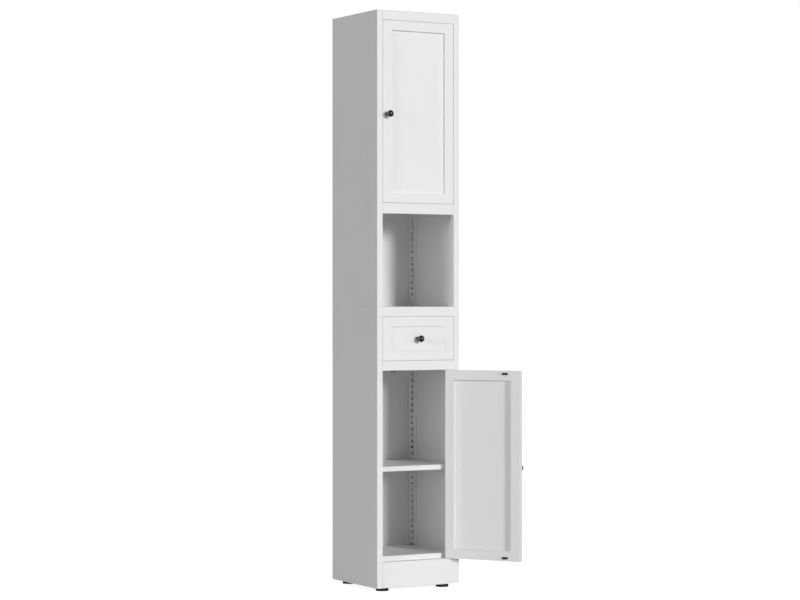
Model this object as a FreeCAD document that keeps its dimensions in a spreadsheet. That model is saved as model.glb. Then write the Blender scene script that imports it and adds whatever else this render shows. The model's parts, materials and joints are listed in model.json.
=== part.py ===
import FreeCAD, Part
import Sketcher
import math
import os

# Tall, narrow bathroom cabinet in folded sheet steel.
# Millimetres. X to the right, Y to the back, Z up. The origin is on the floor, at the centre of the
# cabinet's square footprint. The front faces lie at Y = -depth/2. Upper door and drawer are closed,
# the lower door stands open.

V = FreeCAD.Vector
doc = FreeCAD.newDocument("tall_cabinet")

# ---------------------------------------------------------------- driving sizes
SIZES = [
    ("width", 300, "outer width of the carcass"),
    ("depth", 300, "outer depth of the carcass"),
    ("height", 1830, "floor to top face"),
    ("under", 12, "clear height under the carcass"),
    ("gauge", 0.7, "sheet thickness"),
    ("stile", 20, "front width of each upright"),
    ("post_depth", 22, "depth of the upright behind the front face"),
    ("post_lip", 17, "width of the upright's rear lip"),
    ("back_lip", 14, "side panel's rear flange"),
    ("bend", 1.6, "outer bend radius"),
    ("fitgap", 0.1, "assembly gap between neighbouring sheets"),
    ("stop_back", 24, "front face to the door stops, shelf and floor fronts"),
    ("kick_top", 93.4, "height of the kick panel's top"),
    ("pan_rise", 16.2, "height of a floor or shelf pan"),
    ("low_door_z", 93.9, "bottom of the lower door"),
    ("low_door_h", 601, "height of the lower door"),
    ("rail_a", 695.4, "underside of the rail under the drawer"),
    ("rail_b", 726, "top of the rail under the drawer"),
    ("drawer_z", 726.5, "bottom of the drawer front"),
    ("drawer_h", 139.5, "height of the drawer front"),
    ("joint_a", 866.5, "underside of the middle deck"),
    ("joint_b", 896.5, "top of the middle deck"),
    ("bay_top", 1190, "underside of the rail over the open bay"),
    ("bay_rail", 1223.5, "top of the rail over the open bay"),
    ("up_door_z", 1224, "bottom of the upper door"),
    ("up_door_h", 575, "height of the upper door"),
    ("top_rail", 1799.5, "underside of the top rail"),
    ("rail_return", 15, "depth of a rail's bottom return"),
    ("stop_lip", 14, "height of a door stop lip"),
    ("door_w", 258.4, "door width"),
    ("drawer_w", 259, "drawer front width"),
    ("door_t", 20, "door thickness"),
    ("frame_w", 31.5, "width of the raised border"),
    ("door_dish", 8.5, "depth of the door's centre panel"),
    ("drawer_dish", 3, "depth of the drawer front's centre panel"),
    ("pin_in", 10, "hinge axis from the door's edge"),
    ("pin_back", 5.5, "hinge axis behind the front face"),
    ("pin_r", 2.5, "hinge pin radius"),
    ("swing", 124.5, "opening angle of the lower door as it stands"),
    ("knob_in", 16, "knob axis from the door's free edge"),
    ("up_knob_z", 278.8, "upper knob above the door's bottom"),
    ("low_knob_z", 292.9, "lower knob above the door's bottom"),
    ("knob_r", 10.75, "knob head radius"),
    ("knob_len", 28.5, "knob projection"),
    ("slot_w", 7, "slot width"),
    ("slot_tall", 8, "slot height"),
    ("slot_pitch", 20, "slot pitch"),
    ("shelf_a", 376, "underside of the lower shelf"),
    ("shelf_b", 1500, "underside of the upper shelf"),
    ("tray_w", 232, "outer width of the drawer tray"),
    ("tray_z", 735, "underside of the drawer tray"),
    ("tray_h", 105, "height of the drawer tray"),
    ("tray_len", 258, "length of the drawer tray"),
    ("slide_z", 775, "centre height of the drawer slides"),
    ("foot_r", 20.5, "foot radius"),
    ("foot_in", 40, "foot centre from the cabinet's sides"),
    ("stud_r", 3.95, "foot stud radius"),
    ("stud_len", 34, "foot stud length above the plate's underside"),
    ("plate_t", 3, "foot plate thickness"),
    ("wall_hole_r", 2.75, "wall fixing hole radius"),
    ("wall_pitch", 120, "distance between the wall fixing holes"),
    ("wall_z", 1765, "height of the wall fixing holes"),
]
sheet = doc.addObject("Spreadsheet::Sheet", "Sizes")
for row, (alias, value, note) in enumerate(SIZES, start=1):
    sheet.set("A%d" % row, note)
    sheet.set("B%d" % row, str(value))
    sheet.setAlias("B%d" % row, alias)
doc.recompute()


class Q:
    """A length that carries its number and the sheet formula that it comes from."""

    def __init__(self, text, value):
        self.text = text
        self.value = float(value)

    def __add__(self, o):
        o = q(o)
        return Q("(%s + %s)" % (self.text, o.text), self.value + o.value)

    __radd__ = __add__

    def __sub__(self, o):
        o = q(o)
        return Q("(%s - %s)" % (self.text, o.text), self.value - o.value)

    def __rsub__(self, o):
        return q(o) - self

    def __mul__(self, o):
        o = q(o)
        return Q("(%s * %s)" % (self.text, o.text), self.value * o.value)

    __rmul__ = __mul__

    def __truediv__(self, o):
        o = q(o)
        return Q("(%s / %s)" % (self.text, o.text), self.value / o.value)

    def __neg__(self):
        return Q("(0 - %s)" % self.text, -self.value)


def q(x):
    if isinstance(x, Q):
        return x
    return Q(("%.6f" % x) if x >= 0 else ("(0 - %.6f)" % -x), x)


N = {alias: Q("Sizes.%s" % alias, value) for alias, value, note in SIZES}
gap, t = N["fitgap"], N["gauge"]
XR, YB = N["width"] / 2, N["depth"] / 2
YF = -YB
ZB = N["under"]

kept = []


def keep(obj, label):
    obj.Label = label
    kept.append((obj, label))
    return obj


def plane(body, role):
    for f in body.Origin.OriginFeatures:
        if f.Role == role:
            return f
    raise RuntimeError("no plane " + role)


def body(label):
    return keep(doc.addObject("PartDesign::Body", label), label)


def bind(obj, prop, quantity):
    obj.setExpression(prop, quantity.text)


def base_sketch(b, role, offset, ox=None, oy=None):
    s = b.newObject("Sketcher::SketchObject", "sketch")
    s.AttachmentSupport = [(plane(b, role), "")]
    s.MapMode = "FlatFace"
    ox, oy = q(ox or 0), q(oy or 0)
    s.AttachmentOffset = FreeCAD.Placement(V(ox.value, oy.value, offset.value), FreeCAD.Rotation())
    bind(s, "AttachmentOffset.Base.z", offset)
    if ox.value:
        bind(s, "AttachmentOffset.Base.x", ox)
    if oy.value:
        bind(s, "AttachmentOffset.Base.y", oy)
    return s


def loop(s, pts, dome=None):
    """A closed outline through the points, each point held by its two distances from the origin.

    The side that starts at the point numbered dome, and ends on the vertical axis under it, is an
    arc whose centre is on that axis.
    """
    n, first = len(pts), s.GeometryCount
    xy = [(q(x), q(y)) for x, y in pts]
    for i in range(n):
        a, c = xy[i], xy[(i + 1) % n]
        if i == dome:
            r, h = a[0].value, a[1].value - c[1].value
            big = (r * r + h * h) / (2 * h)
            whole = Part.Circle(V(0, c[1].value + big, 0), V(0, 0, 1), big)
            s.addGeometry(Part.ArcOfCircle(whole, -math.pi / 2, math.atan2(h - big, r)), False)
            continue
        s.addGeometry(
            Part.LineSegment(V(a[0].value, a[1].value, 0), V(c[0].value, c[1].value, 0)), False
        )
    head = [2 if i == dome else 1 for i in range(n)]
    for i in range(n):
        m = (i + 1) % n
        s.addConstraint(Sketcher.Constraint("Coincident", first + i, 3 - head[i], first + m, head[m]))
    if dome is not None:
        s.addConstraint(Sketcher.Constraint("PointOnObject", first + dome, 3, -2))
    for i in range(n):
        k = s.addConstraint(Sketcher.Constraint("DistanceX", first + i, head[i], xy[i][0].value))
        bind(s, "Constraints[%d]" % k, xy[i][0])
        k = s.addConstraint(Sketcher.Constraint("DistanceY", first + i, head[i], xy[i][1].value))
        bind(s, "Constraints[%d]" % k, xy[i][1])


def ring(s, x, y, r):
    x, y, r = q(x), q(y), q(r)
    g = s.addGeometry(Part.Circle(V(x.value, y.value, 0), V(0, 0, 1), r.value), False)
    for kind, value, args in (("DistanceX", x, (g, 3)), ("DistanceY", y, (g, 3)), ("Radius", r, (g,))):
        k = s.addConstraint(Sketcher.Constraint(kind, *args, value.value))
        bind(s, "Constraints[%d]" % k, value)


ROLE = {"Z": "XY_Plane", "Y": "XZ_Plane", "X": "YZ_Plane"}


def pad(b, axis, lo, hi, *outlines, circles=()):
    """Adds material over the outlines from lo to hi along the axis."""
    lo, hi = q(lo), q(hi)
    s = base_sketch(b, ROLE[axis], lo if axis != "Y" else -hi)
    for pts in outlines:
        loop(s, pts)
    for c in circles:
        ring(s, *c)
    f = b.newObject("PartDesign::Pad", "pad")
    f.Profile = s
    f.Length = (hi - lo).value
    bind(f, "Length", hi - lo)
    doc.recompute()
    return f


def cut(b, axis, lo, hi, *outlines, circles=(), taper=None):
    """Takes material away over the outlines from lo to hi along the axis."""
    lo, hi = q(lo), q(hi)
    before = b.Shape.Volume
    s = base_sketch(b, ROLE[axis], hi if axis != "Y" else -lo)
    for pts in outlines:
        loop(s, pts)
    for c in circles:
        ring(s, *c)
    f = b.newObject("PartDesign::Pocket", "pocket")
    f.Profile = s
    f.Length = (hi - lo).value
    bind(f, "Length", hi - lo)
    if taper is not None:
        f.TaperAngle = taper
    doc.recompute()
    if not b.Shape.Volume < before - 1e-6:
        raise RuntimeError("a pocket in %s cut nothing" % b.Label)
    return f


def repeat(b, feature, role, length, count):
    """Repeats a feature along one of the body's axes."""
    axis = [f for f in b.Origin.OriginFeatures if f.Role == role][0]
    before = b.Shape.Volume
    p = b.newObject("PartDesign::LinearPattern", "pattern")
    p.Originals = [feature]
    p.Direction = (axis, [""])
    p.Length = length.value
    bind(p, "Length", length)
    p.Occurrences = count
    b.Tip = p
    doc.recompute()
    if not b.Shape.Volume < before - 1e-6:
        raise RuntimeError("a pattern in %s cut nothing" % b.Label)
    return p


def soften(b, radius, pick):
    """Rounds the edges that pick() accepts, by their two end points and their length."""
    radius = q(radius)
    names = []
    for i, e in enumerate(b.Shape.Edges, start=1):
        if len(e.Vertexes) < 1 or e.Degenerated:
            continue
        a, c = e.Vertexes[0].Point, e.Vertexes[-1].Point
        if pick(a, c, e):
            names.append("Edge%d" % i)
    if not names:
        raise RuntimeError("nothing to round in %s" % b.Label)
    tip = b.Tip
    f = b.newObject("PartDesign::Fillet", "fillet")
    f.Base = (tip, names)
    f.Radius = radius.value
    bind(f, "Radius", radius)
    b.Tip = f
    doc.recompute()
    if "Invalid" in f.State or "Error" in f.State or b.Shape.isNull():
        raise RuntimeError("the rounding of %s failed" % b.Label)
    return f


def near(a, c):
    return abs(a - c) < 0.02


def upright(x, y):
    """Accepts the vertical edges at one of the given plan points."""
    spots = list(zip(x, y))
    return lambda a, c, e: (
        near(a.x, c.x) and near(a.y, c.y) and not near(a.z, c.z)
        and any(near(a.x, u) and near(a.y, v) for u, v in spots)
    )


def box(name, x0, x1, y0, y1, z0, z1):
    o = doc.addObject("Part::Box", name)
    for prop, lo, hi, at in (("Length", x0, x1, "x"), ("Width", y0, y1, "y"), ("Height", z0, z1, "z")):
        lo, hi = q(lo), q(hi)
        bind(o, prop, hi - lo)
        bind(o, "Placement.Base.%s" % at, lo)
    return o


def post(name, x, y, z0, z1, r, axis="Z"):
    """A plain cylinder along Z, or along Y from y=z0 to y=z1 with its centre at x, z=y."""
    o = doc.addObject("Part::Cylinder", name)
    x, y, z0, z1, r = q(x), q(y), q(z0), q(z1), q(r)
    bind(o, "Radius", r)
    bind(o, "Height", z1 - z0)
    if axis == "Z":
        bind(o, "Placement.Base.x", x)
        bind(o, "Placement.Base.y", y)
        bind(o, "Placement.Base.z", z0)
    else:
        o.Placement = FreeCAD.Placement(V(0, 0, 0), FreeCAD.Rotation(V(1, 0, 0), -90))
        bind(o, "Placement.Base.x", x)
        bind(o, "Placement.Base.y", z0)
        bind(o, "Placement.Base.z", y)
    return o


def fuse(name, *shapes):
    o = doc.addObject("Part::MultiFuse", name)
    o.Shapes = list(shapes)
    return o


def minus(name, base, tool):
    o = doc.addObject("Part::Cut", name)
    o.Base, o.Tool = base, tool
    return o


def group(label, members):
    o = doc.addObject("Part::Compound", label)
    o.Links = list(members)
    return keep(o, label)


# ---------------------------------------------------------------- side panels
# One folded sheet each: side, 20 mm front face, 22 mm return, slotted rear lip, rear flange, and an
# inward flange where the upper and lower halves are bolted to the middle deck.
def side_panel(label, s, z0, z1, flange_low):
    b = body(label)
    xi = XR - N["stile"]
    yr = YF + N["post_depth"]
    xl = xi + N["post_lip"]
    xb = XR - N["back_lip"]
    pts = [
        (XR, YB), (XR, YF), (xi, YF), (xi, yr), (xl, yr), (xl, yr - t), (xi + t, yr - t),
        (xi + t, YF + t), (XR - t, YF + t), (XR - t, YB - t), (xb, YB - t), (xb, YB),
    ]
    pad(b, "Z", z0, z1, [(s * x, y) for x, y in pts])
    outer = N["bend"]
    soften(b, outer, upright(
        [s * XR.value, s * XR.value, s * xi.value, s * xi.value],
        [YB.value, YF.value, YF.value, yr.value]))
    inner = N["bend"] - t
    soften(b, inner, upright(
        [s * (XR - t).value, s * (XR - t).value, s * (xi + t).value, s * (xi + t).value],
        [(YB - t).value, (YF + t).value, (YF + t).value, (yr - t).value]))
    # inward flange against the middle deck
    f0, f1 = (z0, z0 + t) if flange_low else (z1 - t, z1)
    xf, xo = s * (XR - 19), s * (XR - t)
    pad(b, "Z", f0, f1, [(xf, YF + 24), (xo, YF + 24), (xo, YB - 32), (xf, YB - 32)])
    cut(b, "Z", f0, f1, circles=[(s * (XR - 10), y, 3.1) for y in (-90, 90)])
    # row of slots in the lip, for the shelf clips
    xs = XR - 10.5
    w = N["slot_w"] / 2
    n = int((z1 - z0 - 60).value // N["slot_pitch"].value)
    zs = z0 + 36
    one = cut(b, "Y", yr - t - 1, yr + 1, [
        (s * (xs - w), zs), (s * (xs + w), zs), (s * (xs + w), zs + N["slot_tall"]),
        (s * (xs - w), zs + N["slot_tall"])])
    repeat(b, one, "Z_Axis", N["slot_pitch"] * (n - 1), n)
    # screw holes in the rear flange
    one = cut(b, "Y", YB - t - 1, YB + 1, circles=[(s * (XR - 7), z0 + 30, 1.65)])
    repeat(b, one, "Z_Axis", z1 - z0 - 60, 5)
    return b


LOW0, LOW1 = ZB, N["joint_a"]
UP0, UP1 = N["joint_b"], N["height"] - t
for s, side in ((-1, "left"), (1, "right")):
    side_panel("lower_side_%s" % side, s, LOW0, LOW1, False)
    side_panel("upper_side_%s" % side, s, UP0, UP1, True)


# ---------------------------------------------------------------- back panels
def back_panel(label, z0, z1, holes):
    b = body(label)
    x = XR - N["bend"] - gap
    pad(b, "Y", YB - 2 * t, YB - t, [(-x, z0), (x, z0), (x, z1), (-x, z1)])
    one = cut(b, "Y", YB - 2 * t - 1, YB - t + 1,
              circles=[(XR - 7, z0 + 30, 1.65), (7 - XR, z0 + 30, 1.65)])
    repeat(b, one, "Z_Axis", z1 - z0 - 60, 5)
    if holes:
        cut(b, "Y", YB - 2 * t - 1, YB - t + 1, circles=[
            (N["wall_pitch"] / 2, N["wall_z"], N["wall_hole_r"]),
            (-N["wall_pitch"] / 2, N["wall_z"], N["wall_hole_r"])])
    return b


back_panel("lower_back_panel", LOW0, LOW1, False)
back_panel("upper_back_panel", UP0, UP1, True)

screws = []
for z0, z1 in ((LOW0, LOW1), (UP0, UP1)):
    for k in range(5):
        z = z0 + 30 + (z1 - z0 - 60) * (k / 4.0)
        for s in (-1, 1):
            x = s * (XR - 7)
            head = post("head", x, z, YB, YB + 1.5, 3.4, "Y")
            shank = post("shank", x, z, YB - 5, YB, 1.55, "Y")
            screws.append(fuse("screw", head, shank))
group("back_screws", screws)


# ---------------------------------------------------------------- rear corner posts
# A slotted strip stands across each rear corner, with a short flange on the side and on the back.
def rear_post(label, s, z0, z1):
    b = body(label)
    x1, y1 = XR - t - gap, YB - 2 * t - gap
    pts = [
        (x1 - 20, y1), (x1 - 10, y1), (x1, y1 - 18.9), (x1, y1 - 28.9), (x1 - t, y1 - 28.9),
        (x1 - t, y1 - 19.15), (x1 - 10.6, y1 - t), (x1 - 20, y1 - t),
    ]
    pad(b, "Z", z0, z1, [(s * x, y) for x, y in pts])
    zs = z0 + 36 - (z0 - ZB) if z0.value < 100 else z0 + 36
    n = int((z1 - zs - 20).value // N["slot_pitch"].value)
    yc = y1 - 9.6
    w = N["slot_w"] / 2
    one = cut(b, "X", s * (x1 - 6) - 4.5, s * (x1 - 6) + 4.5, [
        (yc - w, zs), (yc + w, zs), (yc + w, zs + N["slot_tall"]), (yc - w, zs + N["slot_tall"])])
    repeat(b, one, "Z_Axis", N["slot_pitch"] * (n - 1), n)
    return b


for s, side in ((-1, "left"), (1, "right")):
    rear_post("lower_rear_post_%s" % side, s, ZB + 1 + N["plate_t"], LOW1)
    rear_post("upper_rear_post_%s" % side, s, UP0, UP1)


# ---------------------------------------------------------------- decks
def mirrored(half):
    """The whole outline from its right half, given from front to back."""
    return half + [(-x, y) for x, y in reversed(half)]


XN = XR - N["stile"] - gap          # clear of the uprights' returns
YN = YF + N["stop_back"]            # behind the uprights
XD = XR - t - gap                   # against the side sheets
YD = YB - 2 * t - gap               # against the back sheet
REAR = [(XD, YB - 31.2), (XD - 1.2, YB - 31.2), (XD - 1.2, YB - 22.1), (XD - 11, YD - 1.3),
        (XD - 20.1, YD - 1.3), (XD - 20.1, YD)]
REAR_IN = [(XD - 2.2, YB - 22.6), (XD - 11.6, YD - 2.3)]


def pan(b, z0, z1, narrow_front):
    """A tray with its sheet on top and a rim hanging down on all sides."""
    if narrow_front:
        out = [(XN, YF), (XN, YN), (XD, YN)] + REAR
        inn = [(XN - t, YF + t), (XN - t, YN + t), (XD - 2.2, YN + t)] + REAR_IN
    else:
        out = [(XD, YN)] + REAR
        inn = [(XD - 2.2, YN + t)] + REAR_IN
    pad(b, "Z", z0, z1, mirrored(out))
    cut(b, "Z", z0, z1 - t, mirrored(inn))


def front_edges(y, zs):
    """Accepts the long edges along X at depth y and one of the heights."""
    return lambda a, c, e: (
        near(a.y, y) and near(c.y, y) and near(a.z, c.z) and not near(a.x, c.x)
        and any(near(a.z, z) for z in zs)
    )


PX, PY = XR - N["stile"] - 1 - N["pin_in"], YF + N["pin_back"]   # hinge axis in plan
BUSH_HOLE = 4.05


def rail_deck(label, z0, z1, lip_up, lip_down, pin_top, pin_bottom):
    b = body(label)
    pan(b, z0, z1, True)
    # return along the bottom of the rail
    x = XN - t
    pad(b, "Z", z0, z0 + t, [(-x, YF + t), (x, YF + t), (x, YF + N["rail_return"]), (-x, YF + N["rail_return"])])
    soften(b, N["bend"] - 0.2, front_edges(YF.value, [z0.value, z1.value]))
    if lip_up:
        pad(b, "Z", z1 - t, z1 + N["stop_lip"], [(-(XN - 1), YN), (XN - 1, YN), (XN - 1, YN + t), (-(XN - 1), YN + t)])
    if lip_down:
        pad(b, "Z", z0 - N["stop_lip"], z1 - t, [(-(XN - 1), YN), (XN - 1, YN), (XN - 1, YN + t), (-(XN - 1), YN + t)])
    if pin_top:
        cut(b, "Z", z1 - t, z1, circles=[(PX, PY, BUSH_HOLE)])
    if pin_bottom:
        cut(b, "Z", z0, z0 + t, circles=[(PX, PY, BUSH_HOLE)])
    return b


b = rail_deck("drawer_deck", N["rail_a"], N["rail_b"], False, False, False, True)
# a dark steel keeper for the lower door's top magnet, pressed into two holes of the rail's return
xk, zk = PX + N["pin_in"] - N["door_w"] + 51, N["rail_a"]
studs = [(xk - 6, YF + 9), (xk + 6, YF + 9)]
cut(b, "Z", zk, zk + t, circles=[(x, y, 1.53) for x, y in studs])
keeper = fuse(
    "keeper",
    box("leg", xk - 11, xk + 11, YF + 3, YN + 1, zk + t, zk + t + 1),
    box("face", xk - 11, xk + 11, YN, YN + 1, zk - 16, zk + t + 1),
    *[post("stud", x, y, zk, zk + t + 0.5, 1.5) for x, y in studs])
keep(keeper, "lower_door_keeper")
rail_deck("upper_deck", N["bay_top"], N["bay_rail"], True, False, True, False)

b = rail_deck("top_panel", N["top_rail"], N["height"] - t, False, True, False, True)
zt = N["height"]
pad(b, "Z", zt - t, zt, [(-XR, YF), (XR, YF), (XR, YB), (-XR, YB)])
soften(b, t * 0.7, lambda a, c, e: near(a.z, zt.value) and near(c.z, zt.value))

# The middle deck joins the two halves, and its full rim shows all round.
b = body("middle_deck")
z0, z1 = N["joint_a"], N["joint_b"]
pad(b, "Z", z0, z1, [(-XR, YF), (XR, YF), (XR, YB), (-XR, YB)])
soften(b, N["bend"], upright([XR.value, -XR.value, XR.value, -XR.value],
                             [YF.value, YF.value, YB.value, YB.value]))
cut(b, "Z", z0, z1 - t, [(t - XR, YF + t), (XR - t, YF + t), (XR - t, YB - t), (t - XR, YB - t)])
w = 19
pad(b, "Z", z0, z0 + t, [(0.5 - XR, YF + 0.5), (XR - 0.5, YF + 0.5), (XR - 0.5, YB - 0.5), (0.5 - XR, YB - 0.5)],
    [(w - XR, YF + w), (XR - w, YF + w), (XR - w, YB - w), (w - XR, YB - w)])
soften(b, 1.2, lambda a, c, e: near(a.z, z1.value) and near(c.z, z1.value))
soften(b, t * 0.8, lambda a, c, e: near(a.z, z0.value) and near(c.z, z0.value)
       and max(abs(a.x), abs(a.y)) > 148.9 and max(abs(c.x), abs(c.y)) > 148.9)
cut(b, "Z", z0, z0 + t, circles=[(s * (XR - 10), y, 3.1) for s in (-1, 1) for y in (-90, 90)])
cut(b, "Z", z1 - t, z1, circles=[(s * (XR - 10), y, 3.1) for s in (-1, 1) for y in (-90, 90)])

bolts, nuts = [], []
for z, up in ((N["joint_a"] - t, False), (N["joint_b"] + t, True)):
    for s in (-1, 1):
        for y in (-90, 90):
            x = s * (XR - 10)
            if up:      # head on the bay floor, nut under the deck sheet
                head = post("head", x, y, z, z + 3, 5.2)
                shank = post("shank", x, y, z - 7, z, 3)
                n0 = z - 2 * t - 4
            else:       # head under the side flange, nut above the deck's rim flange
                head = post("head", x, y, z - 3, z, 5.2)
                shank = post("shank", x, y, z, z + 7, 3)
                n0 = z + 2 * t
            bolts.append(fuse("bolt", head, shank))
            hexa = doc.addObject("Part::Prism", "hexagon")
            hexa.Polygon = 6
            bind(hexa, "Circumradius", q(5.7))
            bind(hexa, "Height", q(4))
            bind(hexa, "Placement.Base.x", q(x))
            bind(hexa, "Placement.Base.y", q(y))
            bind(hexa, "Placement.Base.z", n0)
            nuts.append(minus("nut", hexa, post("thread", x, y, n0 - 1, n0 + 5, 3.02)))
group("joining_bolts", bolts)
group("joining_nuts", nuts)

# floor pan of the lower compartment, standing on the kick panel's top return
b = body("floor_pan")
pan(b, N["kick_top"], N["kick_top"] + N["pan_rise"], False)
soften(b, 1.4, front_edges(YN.value, [(N["kick_top"] + N["pan_rise"]).value]))

# kick panel: front sheet with a deep top return and a small bottom return
b = body("kick_panel")
x = XR - N["stile"] - gap
zk = N["kick_top"]
pad(b, "X", -x, x, [
    (YF, ZB), (YF, zk), (YF + 40, zk), (YF + 40, zk - t), (YF + t, zk - t), (YF + t, ZB + t),
    (YF + 15, ZB + t), (YF + 15, ZB)])
soften(b, N["bend"], front_edges(YF.value, [ZB.value, zk.value]))
# corners of the return are cut away round the uprights
cut(b, "Z", zk - t, zk, circles=[(PX, PY, BUSH_HOLE)])


# ---------------------------------------------------------------- shelves and clips
def shelf(label, z0):
    b = body(label)
    x, y0, y1 = XR - 2.4, YF + 25, YB - 3.5
    z1 = z0 + 16
    pad(b, "Z", z0, z1, mirrored([(x, y0), (x, YB - 23.5), (x - 12.1, y1)]))
    cut(b, "Z", z0, z1 - t, mirrored([(x - t, y0 + t), (x - t, YB - 23.9), (x - 12.7, y1 - t)]))
    # rim returns, folded under along the front and the back
    xr = x - t
    pad(b, "Z", z0, z0 + t, [(-xr, y0 + 0.5), (xr, y0 + 0.5), (xr, y0 + 12), (-xr, y0 + 12)])
    soften(b, 1.4, front_edges(y0.value, [z0.value, z1.value]))
    return b


def clips(label, z):
    """Four hooks: each lies under the shelf, passes through its slot and turns down behind it."""
    out = []
    for s in (-1, 1):
        # front pair, through the uprights' rear lips
        x0, x1 = XR - 13.4, XR - 7.6
        yl = YF + N["post_depth"]
        a, c = (x0, x1) if s > 0 else (-x1, -x0)
        ledge = box("ledge", a, c, yl - t - 1.7, yl + 24, z - 2.1, z - 0.1)
        hook = box("hook", a, c, yl - t - 1.7, yl - t - 0.3, z - 9, z - 2.1)
        rise = box("rise", a, c, yl + 0.3, yl + 1.5, z - 8, z - 2.1)
        out.append(fuse("clip", ledge, hook, rise))
        # rear pair, through the slotted corner strips
        x1 = XR - t - gap
        yc = YB - 2 * t - gap - 9.6
        lo, hi = x1 - 22, x1 - 2.2
        a, c = (lo, hi) if s > 0 else (-hi, -lo)
        ledge = box("ledge", a, c, yc - 2.9, yc + 2.9, z - 2.1, z - 0.1)
        lo, hi = x1 - 3.2, x1 - 2.2
        a, c = (lo, hi) if s > 0 else (-hi, -lo)
        hook = box("hook", a, c, yc - 2.9, yc + 2.9, z - 9, z - 2.1)
        out.append(fuse("clip", ledge, hook))
    return group(label, out)


shelf("lower_shelf", N["shelf_a"])
clips("lower_shelf_clips", N["shelf_a"])
shelf("upper_shelf", N["shelf_b"])
clips("upper_shelf_clips", N["shelf_b"])

# ---------------------------------------------------------------- feet
fx, fy = XR - N["foot_in"], YB - N["foot_in"]
plates = []
for s in (-1, 1):
    for v in (-1, 1):
        if v < 0:
            lo, hi = fx - 26, XR - N["stile"] - 0.5
            ylo, yhi = YF + 1.5, -fy + 30
        else:
            lo, hi = fx - 26, XR - t - gap
            ylo, yhi = fy - 30, YB - 2 * t - gap
        a, c = (lo, hi) if s > 0 else (-hi, -lo)
        z0 = ZB + t
        p = box("plate", a, c, ylo, yhi, z0, z0 + N["plate_t"])
        plates.append(minus("foot_plate", p, post("thread", s * fx, v * fy, z0 - 1, z0 + 6, N["stud_r"] + 0.05)))
group("foot_plates", plates)

for s, side in ((-1, "left"), (1, "right")):
    for v, end in ((-1, "front"), (1, "rear")):
        b = body("foot_%s_%s" % (end, side))
        sk = base_sketch(b, "XZ_Plane", -v * fy, s * fx)
        r = N["foot_r"]
        top = ZB + t
        prof = [(0, 0), (r - 1.2, 0), (r, 1.2), (r, 6.2), (r - 1.6, 8), (13, 8.8), (11, 10.2), (11, top),
                (N["stud_r"], top), (N["stud_r"], top + N["stud_len"] - 1), (N["stud_r"] - 1, top + N["stud_len"]), (0, top + N["stud_len"])]
        loop(sk, prof)
        f = b.newObject("PartDesign::Revolution", "turn")
        f.Profile = sk
        f.ReferenceAxis = (sk, ["V_Axis"])
        f.Angle = 360
        doc.recompute()

# ---------------------------------------------------------------- hinge bushes in the rails
BORE = N["pin_r"] + 0.05
bushes = []
for z, way in ((N["kick_top"], 1), (N["rail_a"], -1), (N["bay_rail"], 1), (N["top_rail"], -1)):
    lo, hi = (z - 5, z) if way > 0 else (z, z + 5)
    c0, c1 = (z, z + 0.35) if way > 0 else (z - 0.35, z)
    ring_body = fuse("ring", post("sleeve", PX, PY, lo, hi, 4), post("collar", PX, PY, c0, c1, 4.5))
    bushes.append(minus("bush", ring_body, post("bore", PX, PY, z - 8, z + 8, BORE)))
group("hinge_bushes", bushes)


# ---------------------------------------------------------------- doors
# Each door is drawn closed about its own hinge axis: x along the width (hinge edge at +pin_in), y to
# the inside (front face at -pin_back), z up from the door's bottom edge. Its place then puts the axis
# on the cabinet and turns the door by its opening angle.
def seat(obj, z, angle):
    obj.Placement = FreeCAD.Placement(V(PX.value, PY.value, z.value), FreeCAD.Rotation(V(0, 0, 1), angle.value))
    if angle.value:
        bind(obj, "Placement.Rotation.Angle", angle)
    bind(obj, "Placement.Base.x", PX)
    bind(obj, "Placement.Base.y", PY)
    bind(obj, "Placement.Base.z", z)


def rect(x0, x1, z0, z1):
    return [(x0, z0), (x1, z0), (x1, z1), (x0, z1)]


def knob(label, x, y, z):
    """A turned knob with a domed head, standing out of the front face at x, z; its shank goes through the sheet."""
    b = body(label)
    sk = base_sketch(b, "XY_Plane", z, x, y)
    r, n = N["knob_r"], N["knob_len"]
    loop(sk, [
        (0, -12), (2.05, -12), (2.05, 0), (6.4, 0), (6.4, -2.2), (4.3, -4.4), (4.3, 8.5 - n + 7),
        (r, 10.5 - n), (r, 6 - n), (0, -n)], dome=8)
    f = b.newObject("PartDesign::Revolution", "turn")
    f.Profile = sk
    f.ReferenceAxis = (sk, ["V_Axis"])
    f.Angle = 360
    doc.recompute()
    b.Tip = f

    def circle_at(radius, yy):
        return lambda a, c, e: (
            hasattr(e.Curve, "Radius") and near(e.Curve.Radius, radius)
            and near(e.Curve.Center.y, yy)
        )
    y0 = y.value
    soften(b, 1.5, circle_at(r.value, y0 + 6 - n.value))
    soften(b, 1.6, circle_at(r.value, y0 + 10.5 - n.value))
    soften(b, 2.0, circle_at(4.3, y0 + 15.5 - n.value))
    soften(b, 1.2, circle_at(4.3, y0 - 4.4))
    soften(b, 0.8, circle_at(6.4, y0 - 2.2))
    return b


def knob_screw(label, x, y, z):
    """A pan-head screw whose head bears on the inside of the front sheet."""
    b = body(label)
    sk = base_sketch(b, "XY_Plane", z, x, y)
    loop(sk, [(0, t + 2.6), (2.2, t + 2.6), (3.9, t + 1.6), (3.9, t), (1.98, t), (1.98, -11.2), (1.3, -11.8), (0, -11.8)])
    f = b.newObject("PartDesign::Revolution", "turn")
    f.Profile = sk
    f.ReferenceAxis = (sk, ["V_Axis"])
    f.Angle = 360
    doc.recompute()
    return b


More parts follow.
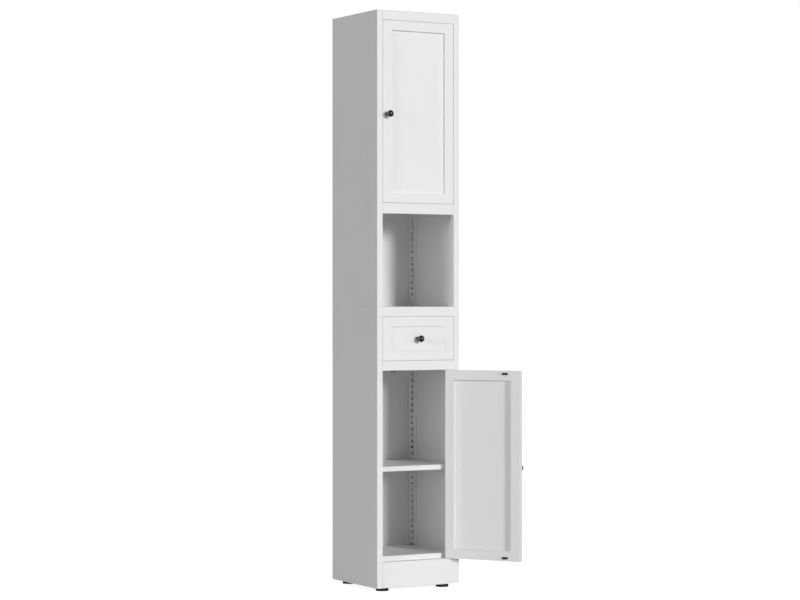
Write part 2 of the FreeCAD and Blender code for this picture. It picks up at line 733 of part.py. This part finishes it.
def door_skin(label, h, knob_z, hinged=True):
    b = body(label)
    x1 = N["pin_in"]
    x0 = x1 - N["door_w"]
    y0 = -N["pin_back"]
    fw, dish, T = N["frame_w"], N["door_dish"], N["door_t"]
    pad(b, "Y", y0, y0 + T - t, rect(x0, x1, 0, h))
    cut(b, "Y", y0 + t, y0 + T - t, rect(x0 + t, x1 - t, t, h - t))
    pad(b, "Y", y0, y0 + dish + t, rect(x0 + fw - t, x1 - fw + t, fw - t, h - fw + t))
    cut(b, "Y", y0, y0 + dish, rect(x0 + fw, x1 - fw, fw, h - fw))
    X0, X1, H, Y0 = x0.value, x1.value, h.value, y0.value
    F = fw.value

    def outer(a, c, e):
        return near(a.y, Y0) and near(c.y, Y0) and (
            (near(a.x, X0) and near(c.x, X0)) or (near(a.x, X1) and near(c.x, X1))
            or (near(a.z, 0) and near(c.z, 0)) or (near(a.z, H) and near(c.z, H)))

    def mouth(a, c, e):
        return near(a.y, Y0) and near(c.y, Y0) and (
            (near(a.x, X0 + F) and near(c.x, X0 + F)) or (near(a.x, X1 - F) and near(c.x, X1 - F))
            or (near(a.z, F) and near(c.z, F)) or (near(a.z, H - F) and near(c.z, H - F)))

    yd = Y0 + dish.value
    soften(b, N["bend"], outer)
    soften(b, t * 0.9, mouth)
    soften(b, t * 0.6, lambda a, c, e: near(a.y, yd) and near(c.y, yd) and F - 0.1 < a.z < H - F + 0.1
           and F - 0.1 < c.z < H - F + 0.1 and X0 + F - 0.1 < a.x < X1 - F + 0.1)
    cut(b, "Y", y0 - 1, y0 + t + 0.5, circles=[(x0 + N["knob_in"], knob_z, 2.15)])
    cut(b, "Z", 0, t, circles=[(0, 0, N["pin_r"] + 0.02)])
    cut(b, "Z", h - t, h, circles=[(0, 0, N["pin_r"] + 0.02)])
    return b


def door_strips(prefix, h):
    """The four mitred strips that close the border's back, each folded in to meet the centre panel."""
    x1 = N["pin_in"]
    x0 = x1 - N["door_w"]
    y0 = -N["pin_back"]
    fw, T = N["frame_w"], N["door_t"]
    ya, yb, yc = y0 + N["door_dish"] + t, y0 + T - t, y0 + T
    faces = {
        "hinge": ([(x1, 0), (x1, h), (x1 - fw, h - fw), (x1 - fw, fw)], rect(x1 - fw, x1 - fw + t, fw, h - fw)),
        "free": ([(x0, 0), (x0, h), (x0 + fw, h - fw), (x0 + fw, fw)], rect(x0 + fw - t, x0 + fw, fw, h - fw)),
        "top": ([(x0, h), (x1, h), (x1 - fw, h - fw), (x0 + fw, h - fw)], rect(x0 + fw, x1 - fw, h - fw, h - fw + t)),
        "bottom": ([(x0, 0), (x1, 0), (x1 - fw, fw), (x0 + fw, fw)], rect(x0 + fw, x1 - fw, fw - t, fw)),
    }
    made = []
    X0, X1, H, F, YC = x0.value, x1.value, h.value, fw.value, yc.value
    for name, (face, wall) in faces.items():
        b = body("%s_strip_%s" % (prefix, name))
        pad(b, "Y", yb, yc, face)
        pad(b, "Y", ya, yc - 0.5, wall)

        def edge(a, c, e, name=name):
            if not (near(a.y, YC) and near(c.y, YC)):
                return False
            if name == "hinge":
                return (near(a.x, X1) and near(c.x, X1)) or (near(a.x, X1 - F) and near(c.x, X1 - F))
            if name == "free":
                return (near(a.x, X0) and near(c.x, X0)) or (near(a.x, X0 + F) and near(c.x, X0 + F))
            if name == "top":
                return (near(a.z, H) and near(c.z, H)) or (near(a.z, H - F) and near(c.z, H - F))
            return (near(a.z, 0) and near(c.z, 0)) or (near(a.z, F) and near(c.z, F))

        soften(b, t * 0.7, edge)
        if name == "hinge":     # three vent holes through the folded wall
            cut(b, "X", x1 - fw - 1, x1 - fw + t + 1,
                circles=[(y0 + 13.6, z, 1.6) for z in (h * 0.08, h * 0.487, h * 0.807)])
        if name in ("top", "bottom"):
            z = h - 10 if name == "top" else q(10)
            cut(b, "Y", yb - 1, yc + 1, circles=[(x0 + 76, z, 1.6)])
        made.append(b)
    return made


def door_fittings(prefix, h, knob_z):
    x1 = N["pin_in"]
    x0 = x1 - N["door_w"]
    y0 = -N["pin_back"]
    made = [
        knob("%s_knob" % prefix, x0 + N["knob_in"], y0, knob_z),
        knob_screw("%s_knob_screw" % prefix, x0 + N["knob_in"], y0, knob_z),
    ]
    pins = []
    for lo, hi, c0, c1 in ((q(-5.7), q(12), t, t + 1.8), (h - 12, h + 5.7, h - t - 1.8, h - t)):
        pins.append(fuse("pin", post("shank", 0, 0, lo, hi, N["pin_r"]), post("collar", 0, 0, c0, c1, 3.9)))
    made.append(group("%s_hinge_pins" % prefix, pins))
    T = N["door_t"]
    magnets = []
    for z in (q(10), h - 10):
        xm = x0 + 51
        magnets.append(box("magnet", xm - 9, xm + 9, y0 + T, y0 + T + 3.8, z - 3.3, z + 3.3))
    made.append(group("%s_magnets" % prefix, magnets))
    return made


for prefix, z, h, kz, angle in (
    ("upper_door", N["up_door_z"], N["up_door_h"], N["up_knob_z"], q(0)),
    ("lower_door", N["low_door_z"], N["low_door_h"], N["low_knob_z"], N["swing"]),
):
    pieces = [door_skin("%s_skin" % prefix, h, kz)] + door_strips(prefix, h) + door_fittings(prefix, h, kz)
    for p in pieces:
        seat(p, z, angle)

# ---------------------------------------------------------------- drawer
b = body("drawer_front")
x1 = N["drawer_w"] / 2
z0, z1 = N["drawer_z"], N["drawer_z"] + N["drawer_h"]
T, fw, dish = N["door_t"], N["frame_w"], N["drawer_dish"]
pad(b, "Y", YF, YF + T - t, rect(-x1, x1, z0, z1))
cut(b, "Y", YF + t, YF + T - t, rect(t - x1, x1 - t, z0 + t, z1 - t))
pad(b, "Y", YF, YF + dish + t, rect(fw - t - x1, x1 - fw + t, z0 + fw - t, z1 - fw + t))
cut(b, "Y", YF, YF + dish, rect(fw - x1, x1 - fw, z0 + fw, z1 - fw), taper=-40)
soften(b, N["bend"], lambda a, c, e: near(a.y, YF.value) and near(c.y, YF.value) and (
    (near(abs(a.x), x1.value) and near(abs(c.x), x1.value) and near(a.x, c.x))
    or (near(a.z, z0.value) and near(c.z, z0.value)) or (near(a.z, z1.value) and near(c.z, z1.value))))
zk = N["drawer_z"] + 68.6
cut(b, "Y", YF - 1, YF + dish + t + 1, circles=[(0, zk, 2.15)])

b = body("drawer_front_liner")
pad(b, "Y", YF + T - t, YF + T, rect(-x1, x1, z0, z1))
soften(b, t * 0.7, lambda a, c, e: near(a.y, (YF + T).value) and near(c.y, (YF + T).value))

knob("drawer_knob", 0, YF + dish, zk)
knob_screw("drawer_knob_screw", 0, YF + dish, zk)

b = body("drawer_tray")
xt, zt0 = N["tray_w"] / 2, N["tray_z"]
zt1 = zt0 + N["tray_h"]
ya, yb = YF + T, YF + T + N["tray_len"]
pad(b, "Y", ya, yb, [(-xt, zt1), (-xt, zt0), (xt, zt0), (xt, zt1), (xt - t, zt1), (xt - t, zt0 + t),
                     (t - xt, zt0 + t), (t - xt, zt1)])
soften(b, N["bend"], lambda a, c, e: near(a.z, zt0.value) and near(c.z, zt0.value)
       and near(a.x, c.x) and near(abs(a.x), xt.value))
soften(b, t * 0.6, lambda a, c, e: near(a.z, (zt0 + t).value) and near(c.z, (zt0 + t).value)
       and near(a.x, c.x) and near(abs(a.x), (xt - t).value))

b = body("drawer_back")
pad(b, "Y", yb - t, yb, rect(t - xt + gap, xt - t - gap, zt0 + t + 0.7, zt1 - 2))
pad(b, "Y", yb - 9, yb - t, rect(t - xt + gap, xt - t - gap, zt1 - 3, zt1 - 2))

# Three-member slides on each side of the tray.
zc = N["slide_z"]


def member(b, s, web, tip, half, y0, y1):
    """A channel with its web at |x| = web .. web+1.2 and its flanges reaching to |x| = tip."""
    w0, w1 = q(web), q(web) + 1.2
    tip, half = q(tip), q(half)
    if tip.value < w0.value:
        pts = [(w1, -half), (w1, half), (tip, half), (tip, half - 1.2), (w0, half - 1.2), (w0, 1.2 - half),
               (tip, 1.2 - half), (tip, -half)]
    else:
        pts = [(w0, -half), (w0, half), (tip, half), (tip, half - 1.2), (w1, half - 1.2), (w1, 1.2 - half),
               (tip, 1.2 - half), (tip, -half)]
    pad(b, "Y", y0, y1, [(s * x, zc + z) for x, z in pts])


for s, side in ((-1, "left"), (1, "right")):
    xo = XR - N["stile"]                       # face of the upright's return
    b = body("slide_cabinet_%s" % side)
    member(b, s, xo - 1.4, xo - 10.4, 17.5, YF + 23.5, YB - 32)
    for y in (YF + 60, YB - 60):
        pad(b, "Y", y, y + 1.5, [(s * (xo - 0.4), zc - 17.5), (s * (XR - t - gap), zc - 17.5),
                                 (s * (XR - t - gap), zc + 17.5), (s * (xo - 0.4), zc + 17.5)])
    b = body("slide_middle_%s" % side)
    member(b, s, xo - 4.0, xo - 11.4, 15.3, YF + 24, YB - 34)
    b = body("slide_drawer_%s" % side)
    member(b, s, xt, xt + 7.6, 13.1, YF + T + 0.5, yb - 3)

# ---------------------------------------------------------------- check and write
doc.recompute()
for o in doc.Objects:
    if "Invalid" in o.State or "Error" in o.State:
        raise RuntimeError("%s (%s) is %s" % (o.Label, o.TypeId, o.State))
labels = [label for o, label in kept]
if len(set(labels)) != len(labels) or len(labels) > 60:
    raise RuntimeError("labels clash, or there are too many: %d" % len(labels))
for o, label in kept:
    if o.Shape.isNull() or not o.Shape.isValid() or not o.Shape.Solids:
        raise RuntimeError("%s has no valid shape" % label)
    if o.TypeId == "PartDesign::Body" and len(o.Shape.Solids) != 1:
        raise RuntimeError("%s fell apart into %d solids" % (label, len(o.Shape.Solids)))

os.makedirs("parts", exist_ok=True)
for o, label in kept:
    o.Shape.exportStep("parts/%s.step" % label)
print(len(kept), "nodes,", sum(len(o.Shape.Solids) for o, label in kept), "solids")
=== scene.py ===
import json
import math

import bmesh
import bpy
from mathutils import Matrix, Vector


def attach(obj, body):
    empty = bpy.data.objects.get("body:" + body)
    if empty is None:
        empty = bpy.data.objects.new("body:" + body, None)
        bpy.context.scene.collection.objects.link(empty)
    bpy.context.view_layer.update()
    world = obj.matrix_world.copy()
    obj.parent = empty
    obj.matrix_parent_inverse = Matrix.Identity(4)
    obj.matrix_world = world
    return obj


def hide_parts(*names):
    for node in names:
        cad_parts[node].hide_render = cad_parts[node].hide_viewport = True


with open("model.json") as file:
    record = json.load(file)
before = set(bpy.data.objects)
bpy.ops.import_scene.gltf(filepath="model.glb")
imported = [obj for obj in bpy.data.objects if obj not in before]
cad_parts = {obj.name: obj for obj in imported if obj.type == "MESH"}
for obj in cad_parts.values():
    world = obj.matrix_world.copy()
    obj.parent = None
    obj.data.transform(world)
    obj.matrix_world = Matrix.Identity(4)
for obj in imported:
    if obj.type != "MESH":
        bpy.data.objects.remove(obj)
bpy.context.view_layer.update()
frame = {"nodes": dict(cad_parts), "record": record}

scene = bpy.context.scene
nodes = frame["nodes"]
record = frame["record"]

# ------------------------------------------------------------------ colour management and world
scene.view_settings.view_transform = "Standard"
scene.view_settings.look = "None"
scene.view_settings.exposure = 0.0
scene.view_settings.gamma = 1.0

world = bpy.data.worlds.new("studio")
scene.world = world
world.use_nodes = True
wt = world.node_tree
wt.nodes.clear()
out = wt.nodes.new("ShaderNodeOutputWorld")
mix = wt.nodes.new("ShaderNodeMixShader")
seen = wt.nodes.new("ShaderNodeBackground")
lit = wt.nodes.new("ShaderNodeBackground")
path = wt.nodes.new("ShaderNodeLightPath")
seen.inputs["Color"].default_value = (1, 1, 1, 1)
seen.inputs["Strength"].default_value = 1.03
lit.inputs["Color"].default_value = (1, 1, 1, 1)
lit.inputs["Strength"].default_value = 0.015
wt.links.new(path.outputs["Is Camera Ray"], mix.inputs[0])
wt.links.new(lit.outputs[0], mix.inputs[1])
wt.links.new(seen.outputs[0], mix.inputs[2])
wt.links.new(mix.outputs[0], out.inputs["Surface"])


# ------------------------------------------------------------------ camera, at the photograph's viewpoint
cam = bpy.data.cameras.new("camera")
cam.sensor_fit = "HORIZONTAL"
cam.sensor_width = 36.0
cam.lens = 105.92
cam.clip_start = 0.1
cam.clip_end = 100.0
cam_ob = bpy.data.objects.new("camera", cam)
scene.collection.objects.link(cam_ob)
cam_ob.location = (-3.7457, -6.5969, 0.9178)
cam_ob.rotation_euler = (math.radians(90.0), 0.0, math.radians(-29.704))
scene.camera = cam_ob


# ------------------------------------------------------------------ lights
def soft_sun(name, azimuth, elevation, strength, width):
    """A far, soft source. Azimuth is to the right of straight in front of the cabinet."""
    light = bpy.data.lights.new(name, "SUN")
    light.energy = strength
    light.angle = math.radians(width)
    ob = bpy.data.objects.new(name, light)
    scene.collection.objects.link(ob)
    a, e = math.radians(azimuth), math.radians(elevation)
    to_light = Vector((math.sin(a) * math.cos(e), -math.cos(a) * math.cos(e), math.sin(e)))
    ob.rotation_euler = to_light.to_track_quat("Z", "Y").to_euler()
    ob.location = to_light * 5
    return ob


# a lamp of energy pi gives a white, matt surface that faces it a radiance of 1
soft_sun("key", 12, 11, 0.465 * math.pi, 10)
soft_sun("low_key", 15, 8, 0.105 * math.pi, 15)
soft_sun("right_front", 50, 8, 0.05 * math.pi, 30)
soft_sun("left_low", -75, 8, 0.24 * math.pi, 15)
soft_sun("left_front", -60, 10, 0.065 * math.pi, 20)
soft_sun("front_wide", 5, 20, 0.06 * math.pi, 40)
soft_sun("top", 0, 80, 0.08 * math.pi, 60)
soft_sun("back", 180, 30, 0.26 * math.pi, 60)
soft_sun("right", 90, 20, 0.12 * math.pi, 40)


# ------------------------------------------------------------------ floor
me = bpy.data.meshes.new("floor")
me.from_pydata([(-30, -30, 0), (30, -30, 0), (30, 30, 0), (-30, 30, 0)], [], [(0, 1, 2, 3)])
floor = bpy.data.objects.new("floor", me)
scene.collection.objects.link(floor)
m = bpy.data.materials.new("pale_floor")
m.use_nodes = True
nt = m.node_tree
nt.nodes.clear()
o = nt.nodes.new("ShaderNodeOutputMaterial")
add = nt.nodes.new("ShaderNodeAddShader")
d = nt.nodes.new("ShaderNodeBsdfDiffuse")
d.inputs["Color"].default_value = (0.7, 0.7, 0.7, 1)
em = nt.nodes.new("ShaderNodeEmission")
em.inputs["Color"].default_value = (1, 1, 1, 1)
lp = nt.nodes.new("ShaderNodeLightPath")
mul = nt.nodes.new("ShaderNodeMath")
mul.operation = "MULTIPLY"
mul.inputs[1].default_value = 0.88
nt.links.new(lp.outputs["Is Camera Ray"], mul.inputs[0])
nt.links.new(mul.outputs[0], em.inputs["Strength"])
nt.links.new(d.outputs[0], add.inputs[0])
nt.links.new(em.outputs[0], add.inputs[1])
nt.links.new(add.outputs[0], o.inputs["Surface"])
floor.data.materials.append(m)


# ------------------------------------------------------------------ material helpers
class Graph:
    def __init__(self, name):
        self.mat = bpy.data.materials.new(name)
        self.mat.use_nodes = True
        self.t = self.mat.node_tree
        self.t.nodes.clear()
        self.out = self.new("ShaderNodeOutputMaterial")
        self.bsdf = self.new("ShaderNodeBsdfPrincipled")
        self.t.links.new(self.bsdf.outputs[0], self.out.inputs["Surface"])
        self.coord = self.new("ShaderNodeTexCoord").outputs["Object"]

    def new(self, kind, **props):
        n = self.t.nodes.new(kind)
        for k, v in props.items():
            setattr(n, k, v)
        return n

    def link(self, a, b):
        self.t.links.new(a, b)

    def noise(self, scale, detail=2.0, rough=0.5, stretch=None, shift=(0, 0, 0)):
        """A noise whose scale is in features per metre."""
        src = self.coord
        if stretch or any(shift):
            mp = self.new("ShaderNodeMapping")
            mp.inputs["Scale"].default_value = stretch or (1, 1, 1)
            mp.inputs["Location"].default_value = shift
            self.link(src, mp.inputs["Vector"])
            src = mp.outputs[0]
        n = self.new("ShaderNodeTexNoise")
        n.inputs["Scale"].default_value = scale
        n.inputs["Detail"].default_value = detail
        n.inputs["Roughness"].default_value = rough
        self.link(src, n.inputs["Vector"])
        return n.outputs["Fac"]

    def remap(self, value, a, b, lo=0.3, hi=0.7):
        r = self.new("ShaderNodeMapRange")
        r.inputs["From Min"].default_value = lo
        r.inputs["From Max"].default_value = hi
        r.inputs["To Min"].default_value = a
        r.inputs["To Max"].default_value = b
        self.link(value, r.inputs["Value"])
        return r.outputs[0]

    def math(self, op, a, b):
        n = self.new("ShaderNodeMath", operation=op)
        for i, v in enumerate((a, b)):
            if isinstance(v, (int, float)):
                n.inputs[i].default_value = v
            else:
                self.link(v, n.inputs[i])
        return n.outputs[0]

    def mix(self, fac, a, b):
        n = self.new("ShaderNodeMix", data_type="RGBA")
        for sock, v in ((n.inputs[0], fac), (n.inputs[6], a), (n.inputs[7], b)):
            if isinstance(v, (int, float)):
                sock.default_value = v
            elif isinstance(v, tuple):
                sock.default_value = (*v, 1) if len(v) == 3 else v
            else:
                self.link(v, sock)
        return n.outputs[2]

    def bump(self, height, distance, strength=1.0, normal=None):
        n = self.new("ShaderNodeBump")
        n.inputs["Distance"].default_value = distance
        n.inputs["Strength"].default_value = strength
        self.link(height, n.inputs["Height"])
        if normal is not None:
            self.link(normal, n.inputs["Normal"])
        return n.outputs[0]

    def edge(self, radius):
        """1 on sharp outer and inner edges, 0 on flat faces."""
        bev = self.new("ShaderNodeBevel", samples=4)
        bev.inputs["Radius"].default_value = radius
        geo = self.new("ShaderNodeNewGeometry")
        dot = self.new("ShaderNodeVectorMath", operation="DOT_PRODUCT")
        self.link(bev.outputs[0], dot.inputs[0])
        self.link(geo.outputs["Normal"], dot.inputs[1])
        r = self.new("ShaderNodeMapRange")
        r.inputs["From Min"].default_value = 0.995
        r.inputs["From Max"].default_value = 0.85
        self.link(dot.outputs["Value"], r.inputs["Value"])
        return r.outputs[0]


def powder_coat(name, colour):
    """Satin white powder coat on steel: orange peel about 1 mm across, a finer grain, thin paint on cut edges."""
    g = Graph(name)
    g.bsdf.inputs["IOR"].default_value = 1.5
    broad = g.noise(5.0, 2.0, shift=(3.1, 1.7, 0.4))
    mid = g.noise(60.0, 3.0, shift=(0.2, 5.1, 2.2))
    peel = g.noise(850.0, 2.0, 0.55)
    grain = g.noise(3200.0, 1.0, 0.5)
    tone = g.remap(broad, 0.0, 1.0)
    c0 = tuple(x * 0.992 for x in colour)
    base = g.mix(tone, c0, colour)
    speck = g.remap(grain, 0.0, 0.05, 0.68, 0.80)
    base = g.mix(speck, base, tuple(x * 0.82 for x in colour))
    thin = g.math("MULTIPLY", g.edge(0.0005), g.remap(mid, 0.15, 0.9, 0.35, 0.65))
    base = g.mix(g.math("MULTIPLY", thin, 0.5), base, (0.55, 0.555, 0.56))
    g.link(base, g.bsdf.inputs["Base Color"])
    rough = g.math("ADD", g.remap(mid, 0.43, 0.49), g.remap(peel, -0.03, 0.03))
    g.link(rough, g.bsdf.inputs["Roughness"])
    n1 = g.bump(peel, 0.00003)
    n2 = g.bump(grain, 0.000006, normal=n1)
    g.link(n2, g.bsdf.inputs["Normal"])
    return g.mat


def gloss_black(name):
    """Lacquered black knob: deep gloss, fine polishing marks, a little dust in the tone."""
    g = Graph(name)
    g.bsdf.inputs["Specular IOR Level"].default_value = 0.4
    g.bsdf.inputs["Coat Weight"].default_value = 1.0
    g.bsdf.inputs["Coat Roughness"].default_value = 0.06
    mid = g.noise(140.0, 3.0)
    fine = g.noise(2600.0, 2.0, 0.6, stretch=(1, 0.15, 1))
    g.link(g.mix(g.remap(mid, 0.0, 1.0), (0.001, 0.001, 0.001), (0.003, 0.003, 0.0033)), g.bsdf.inputs["Base Color"])
    g.link(g.math("ADD", g.remap(mid, 0.10, 0.15), g.remap(fine, -0.015, 0.015)), g.bsdf.inputs["Roughness"])
    g.link(g.bump(fine, 0.000004), g.bsdf.inputs["Normal"])
    return g.mat


def black_plastic(name, level=0.009):
    """Moulded black plastic: spark-eroded grain and slightly rubbed edges."""
    g = Graph(name)
    g.bsdf.inputs["Specular IOR Level"].default_value = 0.3
    grain = g.noise(2400.0, 3.0, 0.6)
    mid = g.noise(90.0, 3.0, 0.5)
    worn = g.math("MULTIPLY", g.edge(0.0006), g.remap(mid, 0.2, 1.0))
    base = g.mix(g.remap(mid, 0.0, 1.0), (level * 0.8,) * 3, (level * 1.3,) * 3)
    base = g.mix(g.math("MULTIPLY", worn, 0.5), base, (level * 3.5,) * 3)
    g.link(base, g.bsdf.inputs["Base Color"])
    g.link(g.math("ADD", g.remap(mid, 0.45, 0.58), g.remap(grain, -0.05, 0.05)), g.bsdf.inputs["Roughness"])
    g.link(g.bump(grain, 0.00002), g.bsdf.inputs["Normal"])
    return g.mat


def zinc(name):
    """Bright zinc plate: faint blue and yellow passivation, drawn grain, edges rubbed bright."""
    g = Graph(name)
    g.bsdf.inputs["Metallic"].default_value = 1.0
    cloud = g.noise(45.0, 3.0, 0.6)
    cloud2 = g.noise(30.0, 2.0, 0.5, shift=(4.0, 2.0, 7.0))
    drawn = g.noise(1500.0, 2.0, 0.6, stretch=(1, 0.04, 1))
    base = g.mix(g.remap(cloud, 0.0, 1.0), (0.60, 0.62, 0.65), (0.70, 0.695, 0.67))
    base = g.mix(g.remap(cloud2, 0.0, 0.35), base, (0.50, 0.52, 0.56))
    base = g.mix(g.math("MULTIPLY", g.edge(0.0004), 0.6), base, (0.80, 0.80, 0.79))
    g.link(base, g.bsdf.inputs["Base Color"])
    g.link(g.math("ADD", g.remap(cloud, 0.26, 0.40), g.remap(drawn, -0.06, 0.06)), g.bsdf.inputs["Roughness"])
    g.link(g.bump(drawn, 0.000008), g.bsdf.inputs["Normal"])
    return g.mat


def dark_steel(name):
    """Phosphated steel: matt charcoal, cloudy, rubbed grey along its edges."""
    g = Graph(name)
    g.bsdf.inputs["Metallic"].default_value = 0.35
    cloud = g.noise(260.0, 3.0, 0.6)
    grain = g.noise(2800.0, 2.0, 0.6)
    base = g.mix(g.remap(cloud, 0.0, 1.0), (0.13, 0.13, 0.132), (0.175, 0.175, 0.178))
    base = g.mix(g.math("MULTIPLY", g.edge(0.0004), 0.5), base, (0.30, 0.30, 0.305))
    g.link(base, g.bsdf.inputs["Base Color"])
    g.link(g.math("ADD", g.remap(cloud, 0.52, 0.64), g.remap(grain, -0.04, 0.04)), g.bsdf.inputs["Roughness"])
    g.link(g.bump(grain, 0.00001), g.bsdf.inputs["Normal"])
    return g.mat


def nylon(name):
    """Natural nylon: off-white, a little translucent, soft sheen."""
    g = Graph(name)
    g.bsdf.inputs["Subsurface Weight"].default_value = 0.15
    g.bsdf.inputs["Subsurface Radius"].default_value = (0.002, 0.002, 0.0018)
    mid = g.noise(220.0, 3.0)
    fine = g.noise(3000.0, 2.0)
    g.link(g.mix(g.remap(mid, 0.0, 1.0), (0.66, 0.65, 0.61), (0.74, 0.735, 0.70)), g.bsdf.inputs["Base Color"])
    g.link(g.remap(mid, 0.38, 0.52), g.bsdf.inputs["Roughness"])
    g.link(g.bump(fine, 0.00001), g.bsdf.inputs["Normal"])
    return g.mat


LOOK = {
    "white_paint": powder_coat("white_paint", (0.86, 0.862, 0.86)),
    "knob_black": gloss_black("knob_black"),
    "foot_plastic": black_plastic("foot_plastic"),
    "magnet_black": black_plastic("magnet_black", 0.009),
    "bush_nylon": nylon("bush_nylon"),
    "zinc_steel": zinc("zinc_steel"),
    "keeper_steel": dark_steel("keeper_steel"),
}
slot_of = {s["node"]: s["material_slot"] for s in record["subparts"]}
for name, ob in nodes.items():
    ob.data.materials.clear()
    ob.data.materials.append(LOOK[slot_of[name]])

# ------------------------------------------------------------------ fasteners with their real heads
def turned(bm, profile, steps):
    """A closed solid of revolution about Z through (radius, height) points, from the top centre to the bottom one."""
    rings = []
    for r, z in profile:
        if r == 0:
            rings.append([bm.verts.new((0, 0, z))])
        else:
            rings.append([bm.verts.new((r * math.cos(2 * math.pi * k / steps), r * math.sin(2 * math.pi * k / steps), z))
                          for k in range(steps)])
    for a, b in zip(rings, rings[1:]):
        for k in range(steps):
            n = (k + 1) % steps
            loop = [a[0]] if len(a) == 1 else [a[k], a[n]]
            loop += [b[0]] if len(b) == 1 else [b[n], b[k]]
            bm.faces.new(loop)
    bmesh.ops.recalc_face_normals(bm, faces=bm.faces)


def prism(bm, outline, z0, z1, shrink=1.0):
    """A closed prism over an outline; its foot may be smaller than its mouth."""
    top = [bm.verts.new((x, y, z1)) for x, y in outline]
    low = [bm.verts.new((x * shrink, y * shrink, z0)) for x, y in outline]
    n = len(outline)
    bm.faces.new(top)
    bm.faces.new(list(reversed(low)))
    for k in range(n):
        bm.faces.new([top[k], low[k], low[(k + 1) % n], top[(k + 1) % n]])
    bmesh.ops.recalc_face_normals(bm, faces=bm.faces)


def carve(profile, steps, recesses):
    """The turned solid with its drive recesses cut out, as one mesh."""
    made = []
    for k, fill in enumerate([lambda bm: turned(bm, profile, steps)] + recesses):
        me = bpy.data.meshes.new("blank_%d" % k)
        bm = bmesh.new()
        fill(bm)
        bm.to_mesh(me)
        bm.free()
        ob = bpy.data.objects.new("blank_%d" % k, me)
        scene.collection.objects.link(ob)
        made.append(ob)
    for tool in made[1:]:
        m = made[0].modifiers.new("recess", "BOOLEAN")
        m.operation = "DIFFERENCE"
        m.solver = "EXACT"
        m.object = tool
    bpy.context.view_layer.update()
    deps = bpy.context.evaluated_depsgraph_get()
    result = bpy.data.meshes.new_from_object(made[0].evaluated_get(deps))
    for ob in made:
        bpy.data.objects.remove(ob)
    return result


def scatter(name, blank, places, node, slot):
    """One piece made of copies of a blank, each moved to its place; it stands for the CAD's plain fasteners."""
    me = bpy.data.meshes.new(name)
    bm = bmesh.new()
    for place in places:
        part = blank.copy()
        part.transform(place)
        bm.from_mesh(part)
        bpy.data.meshes.remove(part)
    bm.to_mesh(me)
    bm.free()
    ob = bpy.data.objects.new(name, me)
    scene.collection.objects.link(ob)
    for f in me.polygons:
        f.use_smooth = True
    me.set_sharp_from_angle(angle=math.radians(35))
    me.materials.clear()
    me.materials.append(LOOK[slot])
    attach(ob, "cabinet")
    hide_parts(node)
    return ob


MM = 0.001


def points(pairs):
    return [(r * MM, z * MM) for r, z in pairs]


def cross(half, wide):
    """The outline of a cross recess."""
    h, w = half * MM, wide * MM / 2
    return [(w, h), (-w, h), (-w, w), (-h, w), (-h, -w), (-w, -w), (-w, -h), (w, -h), (w, -w), (h, -w), (h, w), (w, w)]


def hexagon(across):
    r = across * MM / math.sqrt(3)
    return [(r * math.cos(math.radians(60 * k)), r * math.sin(math.radians(60 * k))) for k in range(6)]


# Pan-head screws of the back panels, heads against the rear flanges.
pan_head = carve(
    points([(0, 1.5), (0.9, 1.47), (1.7, 1.38), (2.4, 1.2), (2.95, 0.92), (3.25, 0.6), (3.4, 0.25), (3.4, 0.05), (3.3, 0),
            (1.55, 0), (1.55, -4.6), (1.1, -5), (0, -5)]), 40,
    [lambda bm: prism(bm, cross(1.75, 0.85), 0.45 * MM, 1.8 * MM, 0.62)])
to_back = Matrix.Rotation(math.radians(-90), 4, "X")
places = []
for z0, z1 in ((0.012, 0.8665), (0.8965, 1.8293)):
    for k in range(5):
        for s in (-1, 1):
            turn = Matrix.Rotation(math.radians((37 * (k + 1) + 53 * s + 1000 * z0) % 90), 4, "Z")
            spot = Matrix.Translation((s * 0.143, 0.150, z0 + 0.03 + (z1 - z0 - 0.06) * k / 4))
            places.append(spot @ to_back @ turn)
scatter("back_panel_screws", pan_head, places, "back_screws", "zinc_steel")

# Button-head bolts that join the lower and the upper carcass through the middle deck.
button = carve(
    points([(0, 3.0), (1.8, 2.95), (3.1, 2.7), (4.2, 2.15), (4.9, 1.35), (5.2, 0.5), (5.2, 0.1), (5.1, 0), (3, 0),
            (3, -6.4), (2.4, -7), (0, -7)]), 48,
    [lambda bm: prism(bm, hexagon(4.0), 1.1 * MM, 3.4 * MM)])
places = []
for z, up in ((0.8665 - 0.0007, False), (0.8965 + 0.0007, True)):
    for s in (-1, 1):
        for y in (-0.09, 0.09):
            flip = Matrix.Identity(4) if up else Matrix.Rotation(math.pi, 4, "X")
            turn = Matrix.Rotation(math.radians(17 * s + 200 * y), 4, "Z")
            places.append(Matrix.Translation((s * 0.14, y, z)) @ flip @ turn)
scatter("carcass_bolts", button, places, "joining_bolts", "zinc_steel")

# the magnets' moulded cases have slightly rounded edges
for name in ("upper_door_magnets", "lower_door_magnets"):
    m = nodes[name].modifiers.new("rounded", "BEVEL")
    m.width = 0.0005
    m.segments = 3
    m.limit_method = "ANGLE"

bpy.context.view_layer.update()
